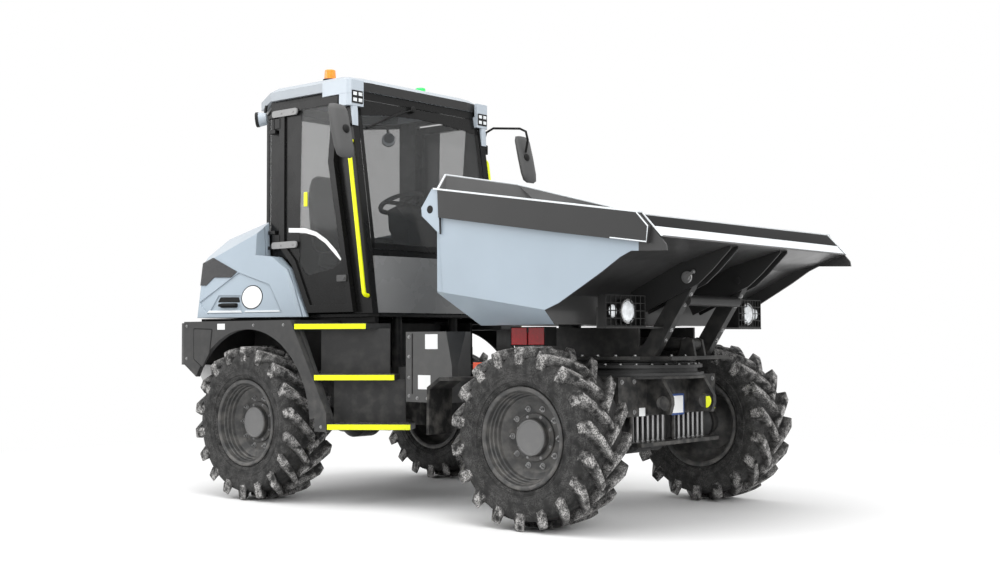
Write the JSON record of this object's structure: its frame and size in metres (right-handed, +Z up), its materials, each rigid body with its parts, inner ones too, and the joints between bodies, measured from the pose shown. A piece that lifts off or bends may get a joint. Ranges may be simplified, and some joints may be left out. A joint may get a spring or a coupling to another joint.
{
  "type": "site dumper",
  "caption": "Articulated four-wheel site dumper with a closed cab at the rear and a slewing, forward-tipping skip at the front.",
  "frame": {"origin": "on the ground under the middle of the machine's length and width", "axes": "+X forward over the skip, +Y to the driver's left, +Z up"},
  "size_m": [4.6757, 2.48, 3.3438],
  "materials": {
    "chassis_black": "satin",
    "axle_black": "satin",
    "battery_case": "matt",
    "bumper_grey": "satin",
    "body_grey": "satin",
    "cab_black": "satin",
    "roof_grey": "gloss",
    "cowl_grey": "gloss",
    "glass": "polished",
    "seat_cloth": "matt",
    "trim_black": "matt",
    "lamp_black": "matt",
    "beacon_amber": "gloss",
    "trim_grey": "satin",
    "rail_yellow": "gloss",
    "hood_paint": "gloss",
    "ring_steel": "machined",
    "lamp_red": "gloss",
    "rod_chrome": "polished",
    "skip_paint": "gloss",
    "lip_white": "gloss",
    "mud_rubber": "matt",
    "tyre": "matt",
    "rim_grey": "satin"
  },
  "bodies": {
    "rear_frame": {"rear_chassis": "chassis_black", "rear_axle": "axle_black", "battery_pack": "battery_case", "rear_bumper": "bumper_grey", "fenders": "body_grey", "steps": "body_grey", "side_boxes": "body_grey", "cab_floor": "cab_black", "cab_frame": "cab_black", "cab_roof": "roof_grey", "cab_cowl": "cowl_grey", "windscreen": "glass", "rear_windows": "glass", "seat": "seat_cloth", "dash_console": "trim_black", "steering_wheel": "trim_black", "work_lamps": "lamp_black", "beacons": "beacon_amber", "mirrors": "trim_grey", "grab_rails": "rail_yellow", "hood_trim": "hood_paint"},
    "hood": {"hood": "hood_paint", "tail_lamps": "lamp_red"},
    "door_right": {"door_right_frame": "cab_black", "door_right_glass": "glass", "door_right_panel": "cab_black"},
    "door_left": {"door_left_frame": "cab_black", "door_left_glass": "glass", "door_left_panel": "cab_black"},
    "front_frame": {"front_chassis": "chassis_black", "front_axle": "axle_black", "slew_ring": "ring_steel", "marker_lamps": "lamp_red", "mudguards": "mud_rubber"},
    "turntable": {"turntable": "chassis_black", "guard_lamps": "lamp_black"},
    "tip_barrel": {"tip_barrel": "chassis_black"},
    "tip_rod": {"tip_rod": "rod_chrome"},
    "steer_barrel": {"steer_barrel": "chassis_black"},
    "steer_rod": {"steer_rod": "rod_chrome"},
    "skip": {"skip_shell": "skip_paint", "skip_bands": "body_grey", "skip_lip": "lip_white", "skip_ribs": "chassis_black"},
    "wheel_front_right": {"rim_front_right": "rim_grey", "tyre_front_right": "tyre"},
    "wheel_front_left": {"rim_front_left": "rim_grey", "tyre_front_left": "tyre"},
    "wheel_rear_right": {"rim_rear_right": "rim_grey", "tyre_rear_right": "tyre"},
    "wheel_rear_left": {"rim_rear_left": "rim_grey", "tyre_rear_left": "tyre"}
  },
  "joints": [
    {"name": "articulation", "type": "hinge", "parent": "rear_frame", "child": "front_frame", "pos_m": [-0.09, 0, 0.735], "axis": [0, 0, 1], "range_deg": [-30, 30]},
    {"name": "skip_slew", "type": "hinge", "parent": "front_frame", "child": "turntable", "pos_m": [1.255, 0, 1.07], "axis": [0, 0, 1], "range_deg": [-90, 90]},
    {"name": "skip_tip", "type": "hinge", "parent": "turntable", "child": "skip", "pos_m": [1.95, 0, 1.597], "axis": [0, 1, 0], "range_deg": [0, 60]},
    {"name": "tip_barrel_pivot", "type": "hinge", "parent": "turntable", "child": "tip_barrel", "pos_m": [1.755, 0, 1.165], "axis": [0, 1, 0], "range_deg": [0, 58.1]},
    {"name": "tip_rod_slide", "type": "slide", "parent": "tip_barrel", "child": "tip_rod", "axis": [-1, 0, 0.0094], "range_m": [0, 0.4725]},
    {"name": "steer_barrel_pivot", "type": "hinge", "parent": "rear_frame", "child": "steer_barrel", "pos_m": [-0.61, 0.268, 0.735], "axis": [0, 0, 1], "range_deg": [-7.9, 7.9]},
    {"name": "steer_rod_slide", "type": "slide", "parent": "steer_barrel", "child": "steer_rod", "axis": [0.9999, -0.0111, 0], "range_m": [-0.1355, 0.1355]},
    {"name": "hood_hinge", "type": "hinge", "parent": "rear_frame", "child": "hood", "pos_m": [-2.285, 0, 1.425], "axis": [0, -1, 0], "range_deg": [0, 55]},
    {"name": "door_right_hinge", "type": "hinge", "parent": "rear_frame", "child": "door_right", "pos_m": [-1.59, -0.8, 2], "axis": [0, 0, -1], "range_deg": [0, 90]},
    {"name": "door_left_hinge", "type": "hinge", "parent": "rear_frame", "child": "door_left", "pos_m": [-1.59, 0.8, 2], "axis": [0, 0, 1], "range_deg": [0, 90]},
    {"name": "wheel_front_right_spin", "type": "hinge", "parent": "front_frame", "child": "wheel_front_right", "pos_m": [1.255, -1.036, 0.58], "axis": [0, 1, 0], "continuous": true},
    {"name": "wheel_front_left_spin", "type": "hinge", "parent": "front_frame", "child": "wheel_front_left", "pos_m": [1.255, 1.036, 0.58], "axis": [0, 1, 0], "continuous": true},
    {"name": "wheel_rear_right_spin", "type": "hinge", "parent": "rear_frame", "child": "wheel_rear_right", "pos_m": [-1.435, -1.036, 0.58], "axis": [0, 1, 0], "continuous": true},
    {"name": "wheel_rear_left_spin", "type": "hinge", "parent": "rear_frame", "child": "wheel_rear_left", "pos_m": [-1.435, 1.036, 0.58], "axis": [0, 1, 0], "continuous": true}
  ],
  "couplings": [
    {"joint": "tip_barrel_pivot", "follows": "skip_tip", "ratio": 0.9678},
    {"joint": "tip_rod_slide", "follows": "skip_tip", "m_per_rad": 0.4508},
    {"joint": "steer_barrel_pivot", "follows": "articulation", "ratio": 0.2607},
    {"joint": "steer_rod_slide", "follows": "articulation", "m_per_rad": -0.2573}
  ]
}
